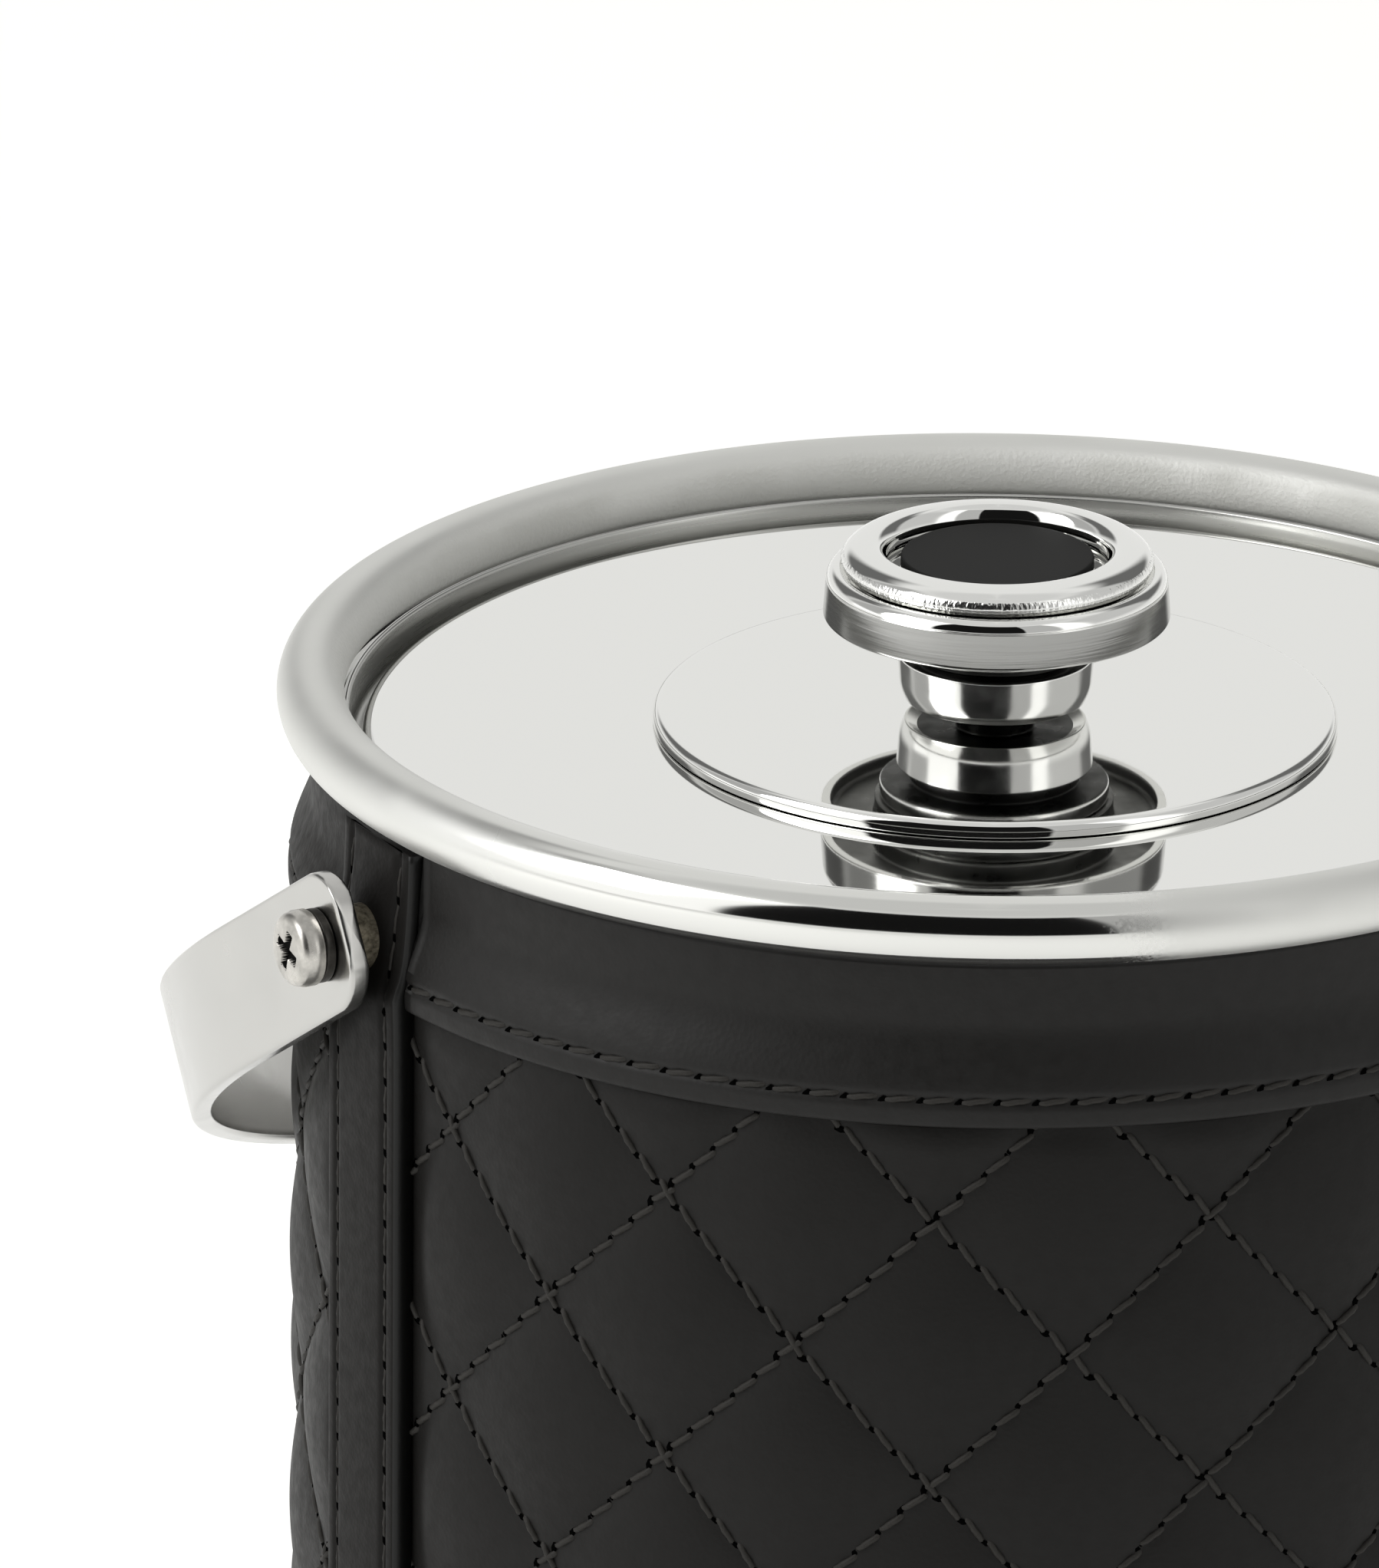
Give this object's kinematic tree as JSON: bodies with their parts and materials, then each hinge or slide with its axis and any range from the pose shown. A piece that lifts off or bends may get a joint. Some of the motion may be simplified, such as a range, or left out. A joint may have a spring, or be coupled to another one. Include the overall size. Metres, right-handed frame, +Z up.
{
  "type": "ice bucket",
  "caption": "Insulated round ice bucket in quilted dark leather with a bright rim, a lift-off lid with a bowl-shaped knob and a flat swinging strap handle.",
  "frame": {"origin": "centre of the foot pad's underside, on the bucket's axis", "axes": "+Z up along the bucket's axis, X through the handle's two pivots, +Y towards the side the handle hangs down on"},
  "size_m": [0.1718, 0.1707, 0.1731],
  "materials": {
    "felt": "dense black felt",
    "can_steel": "brushed stainless steel",
    "foam": "rigid insulating foam",
    "mirror_steel": "mirror-polished steel",
    "quilted_leather": "padded charcoal leather with diamond stitching",
    "plain_leather": "smooth charcoal leather with a line of stitches",
    "satin_steel": "satin-polished steel strap",
    "nickel": "nickel-plated steel",
    "black_plastic": "matte black"
  },
  "bodies": {
    "bucket": {"base_pad": "felt", "outer_shell": "can_steel", "inner_liner": "can_steel", "insulation_sleeve": "foam", "insulation_base": "foam", "rim_ring": "mirror_steel", "quilt_panel_front": "quilted_leather", "quilt_panel_back": "quilted_leather", "top_band_front": "plain_leather", "top_band_back": "plain_leather", "bottom_band_front": "plain_leather", "bottom_band_back": "plain_leather", "side_strap_left": "plain_leather", "side_strap_right": "plain_leather", "handle_screw_left": "nickel", "handle_screw_right": "nickel", "handle_washer_left": "nickel", "handle_washer_right": "nickel", "handle_nut_left": "nickel", "handle_nut_right": "nickel", "spacer_left": "nickel", "spacer_right": "nickel"},
    "handle": {"handle_strap": "satin_steel"},
    "lid": {"lid_top": "mirror_steel", "lid_pan": "can_steel", "lid_insulation": "foam", "lid_plate": "mirror_steel", "knob_collar": "mirror_steel", "knob_head": "mirror_steel", "knob_ring": "mirror_steel", "knob_inset": "black_plastic", "knob_screw": "nickel", "knob_washer": "nickel"}
  },
  "joints": [
    {"name": "bail_swing", "type": "hinge", "parent": "bucket", "child": "handle", "pos_m": [0, 0, 0.141], "axis": [1, 0, 0], "range_deg": [-6, 249.6]},
    {"name": "lid_lift", "type": "slide", "parent": "bucket", "child": "lid", "axis": [0, 0, 1], "range_m": [0, 0.09]}
  ]
}
